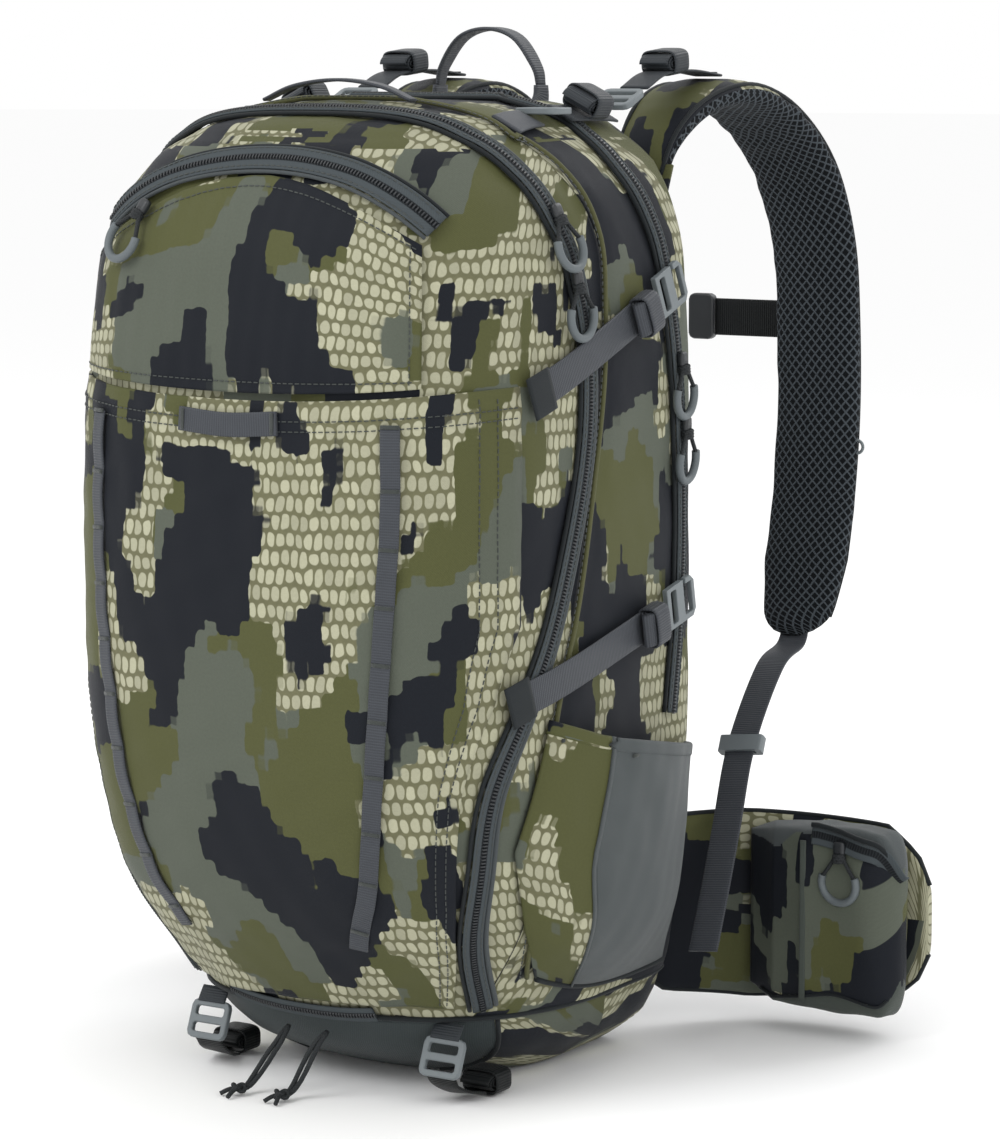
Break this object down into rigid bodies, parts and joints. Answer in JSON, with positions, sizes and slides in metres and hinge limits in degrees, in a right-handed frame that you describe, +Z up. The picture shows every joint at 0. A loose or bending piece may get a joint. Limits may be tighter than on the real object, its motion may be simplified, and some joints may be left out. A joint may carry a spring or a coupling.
{
  "type": "hunting backpack",
  "caption": "Camouflage day pack with stash panel, side pockets, arched top zip, padded harness and hip belt with zipped pockets, standing on its base",
  "frame": {"origin": "on the floor under the middle of the bag, on the flat of its base", "axes": "+X is the wearer's left-right width, -Y the front of the pack, +Y the wearer's side with harness and belt, +Z up"},
  "size_m": [0.5158, 0.5314, 0.6336],
  "materials": {
    "camo_fabric": "woven nylon with a printed camouflage of olive, charcoal, grey-green and pale pebbled patches",
    "base_fabric": "heavy coated dark grey-green nylon",
    "mesh_padding": "charcoal diamond spacer mesh over foam",
    "grey_webbing": "woven grey nylon webbing",
    "black_webbing": "woven black nylon webbing",
    "zip_tape": "two-tone grey zip tape with a black nylon coil",
    "grey_plastic": "moulded grey acetal",
    "black_cord": "braided black and grey cord",
    "frame_plastic": "black polyethylene sheet",
    "frame_aluminium": "bare flat bar"
  },
  "bodies": {
    "bag": {"back_panel": "mesh_padding", "base_boot": "base_fabric", "base_cord_L": "black_cord", "base_cord_R": "black_cord", "frame_sheet": "frame_plastic", "frame_stay": "frame_aluminium", "front_compartment": "camo_fabric", "front_handle": "grey_webbing", "front_loop": "grey_webbing", "front_overlay": "camo_fabric", "front_zip": "zip_tape", "lash_roll_L": "black_webbing", "lash_roll_R": "black_webbing", "lumbar_pad": "mesh_padding", "main_compartment": "camo_fabric", "main_zip": "zip_tape", "side_pocket_L": "camo_fabric", "side_pocket_R": "camo_fabric", "side_strap_lower_L": "grey_webbing", "side_strap_lower_R": "grey_webbing", "side_strap_upper_L": "grey_webbing", "side_strap_upper_R": "grey_webbing", "top_pocket_panel": "camo_fabric", "top_pocket_zip": "zip_tape"},
    "haul_loop": {"haul_loop": "grey_webbing"},
    "harness_R": {"shoulder_pad_R": "mesh_padding", "adjuster_webbing_R": "grey_webbing", "load_lifter_R": "grey_webbing"},
    "strap_slider_R": {"strap_slider_R": "grey_plastic"},
    "sternum_R": {"sternum_webbing_R": "black_webbing", "sternum_socket": "grey_plastic"},
    "hip_wing_R": {"hip_wing_R": "camo_fabric", "hip_pocket_R": "camo_fabric", "belt_webbing_R": "grey_webbing", "belt_buckle_socket": "grey_plastic"},
    "side_hook_upper_R": {"side_hook_upper_R": "grey_plastic"},
    "side_hook_lower_R": {"side_hook_lower_R": "grey_plastic"},
    "lifter_lock_R": {"lifter_lock_R": "grey_plastic"},
    "top_hook_R": {"top_hook_R": "grey_plastic"},
    "lash_buckle_R": {"lash_buckle_R": "grey_plastic"},
    "harness_L": {"shoulder_pad_L": "mesh_padding", "adjuster_webbing_L": "grey_webbing", "load_lifter_L": "grey_webbing"},
    "strap_slider_L": {"strap_slider_L": "grey_plastic"},
    "sternum_L": {"sternum_webbing_L": "black_webbing", "sternum_plug": "grey_plastic"},
    "hip_wing_L": {"hip_wing_L": "camo_fabric", "hip_pocket_L": "camo_fabric", "belt_webbing_L": "grey_webbing", "belt_buckle_plug": "grey_plastic"},
    "side_hook_upper_L": {"side_hook_upper_L": "grey_plastic"},
    "side_hook_lower_L": {"side_hook_lower_L": "grey_plastic"},
    "lifter_lock_L": {"lifter_lock_L": "grey_plastic"},
    "top_hook_L": {"top_hook_L": "grey_plastic"},
    "lash_buckle_L": {"lash_buckle_L": "grey_plastic"},
    "top_zip_pull": {"top_zip_pull": "grey_plastic"},
    "front_zip_pull_upper": {"front_zip_pull_upper": "grey_plastic"},
    "front_zip_pull_lower": {"front_zip_pull_lower": "grey_plastic"},
    "main_zip_pull_upper": {"main_zip_pull_upper": "grey_plastic"},
    "main_zip_pull_lower": {"main_zip_pull_lower": "grey_plastic"}
  },
  "joints": [
    {"name": "haul_loop_swing", "type": "hinge", "parent": "bag", "child": "haul_loop", "pos_m": [0, 0.115, 0.5945], "axis": [1, 0, 0], "range_deg": [-75, 75]},
    {"name": "harness_swing_R", "type": "hinge", "parent": "bag", "child": "harness_R", "pos_m": [0.094, 0.137, 0.53], "axis": [0.1188, -0.0254, -0.9926], "range_deg": [0, 25]},
    {"name": "strap_slider_run_R", "type": "slide", "parent": "harness_R", "child": "strap_slider_R", "axis": [0.1223, -0.5688, -0.8133], "range_m": [-0.015, 0.015]},
    {"name": "sternum_height_R", "type": "slide", "parent": "harness_R", "child": "sternum_R", "axis": [0, 0, 1], "range_m": [-0.025, 0.025]},
    {"name": "hip_wing_fold_R", "type": "hinge", "parent": "bag", "child": "hip_wing_R", "pos_m": [0.0855, 0.1472, 0.085], "axis": [0, 0, 1], "range_deg": [0, 45]},
    {"name": "side_hook_upper_R_turn", "type": "hinge", "parent": "bag", "child": "side_hook_upper_R", "pos_m": [0.1544, 0.0555, 0.4718], "axis": [0.077, 0.327, -0.9419], "range_deg": [0, 70]},
    {"name": "side_hook_lower_R_turn", "type": "hinge", "parent": "bag", "child": "side_hook_lower_R", "pos_m": [0.1582, 0.0616, 0.2844], "axis": [-0.012, 0.2151, -0.9765], "range_deg": [0, 70]},
    {"name": "lifter_lock_R_tilt", "type": "hinge", "parent": "bag", "child": "lifter_lock_R", "pos_m": [0.097, 0.0945, 0.584], "axis": [1, 0, 0], "range_deg": [0, 50]},
    {"name": "top_hook_R_turn", "type": "hinge", "parent": "bag", "child": "top_hook_R", "pos_m": [0.098, 0.006, 0.5828], "axis": [1, 0, 0], "range_deg": [0, 60]},
    {"name": "lash_buckle_R_tilt", "type": "hinge", "parent": "bag", "child": "lash_buckle_R", "pos_m": [0.085, -0.069, 0.0405], "axis": [-1, 0, 0], "range_deg": [0, 60]},
    {"name": "harness_swing_L", "type": "hinge", "parent": "bag", "child": "harness_L", "pos_m": [-0.094, 0.137, 0.53], "axis": [0.1188, 0.0254, 0.9926], "range_deg": [0, 25]},
    {"name": "strap_slider_run_L", "type": "slide", "parent": "harness_L", "child": "strap_slider_L", "axis": [-0.1223, -0.5688, -0.8133], "range_m": [-0.015, 0.015]},
    {"name": "sternum_height_L", "type": "slide", "parent": "harness_L", "child": "sternum_L", "axis": [0, 0, 1], "range_m": [-0.025, 0.025]},
    {"name": "hip_wing_fold_L", "type": "hinge", "parent": "bag", "child": "hip_wing_L", "pos_m": [-0.0855, 0.1472, 0.085], "axis": [0, 0, -1], "range_deg": [0, 45]},
    {"name": "side_hook_upper_L_turn", "type": "hinge", "parent": "bag", "child": "side_hook_upper_L", "pos_m": [-0.1544, 0.0555, 0.4718], "axis": [0.077, -0.327, 0.9419], "range_deg": [0, 70]},
    {"name": "side_hook_lower_L_turn", "type": "hinge", "parent": "bag", "child": "side_hook_lower_L", "pos_m": [-0.1582, 0.0616, 0.2844], "axis": [-0.012, -0.2151, 0.9765], "range_deg": [0, 70]},
    {"name": "lifter_lock_L_tilt", "type": "hinge", "parent": "bag", "child": "lifter_lock_L", "pos_m": [-0.097, 0.0945, 0.584], "axis": [1, 0, 0], "range_deg": [0, 50]},
    {"name": "top_hook_L_turn", "type": "hinge", "parent": "bag", "child": "top_hook_L", "pos_m": [-0.098, 0.006, 0.5828], "axis": [1, 0, 0], "range_deg": [0, 60]},
    {"name": "lash_buckle_L_tilt", "type": "hinge", "parent": "bag", "child": "lash_buckle_L", "pos_m": [-0.085, -0.069, 0.0405], "axis": [-1, 0, 0], "range_deg": [0, 60]},
    {"name": "top_zip_pull_flip", "type": "hinge", "parent": "bag", "child": "top_zip_pull", "pos_m": [-0.0872, -0.1358, 0.5332], "axis": [-0.8334, 0.4692, 0.2921], "range_deg": [0, 80]},
    {"name": "front_zip_pull_upper_flip", "type": "hinge", "parent": "bag", "child": "front_zip_pull_upper", "pos_m": [0.1433, -0.0433, 0.5309], "axis": [-0.021, -0.9949, -0.099], "range_deg": [0, 80]},
    {"name": "front_zip_pull_lower_flip", "type": "hinge", "parent": "bag", "child": "front_zip_pull_lower", "pos_m": [0.1528, -0.0342, 0.4924], "axis": [-0.02, -0.9996, -0.02], "range_deg": [0, 80]},
    {"name": "main_zip_pull_upper_flip", "type": "hinge", "parent": "bag", "child": "main_zip_pull_upper", "pos_m": [0.1563, 0.0837, 0.4384], "axis": [0.084, -0.9947, -0.06], "range_deg": [0, 80]},
    {"name": "main_zip_pull_lower_flip", "type": "hinge", "parent": "bag", "child": "main_zip_pull_lower", "pos_m": [0.1566, 0.0888, 0.3991], "axis": [0.111, -0.9936, -0.02], "range_deg": [0, 80]}
  ],
  "couplings": [
    {"joint": "sternum_height_L", "follows": "sternum_height_R", "ratio": 1}
  ]
}
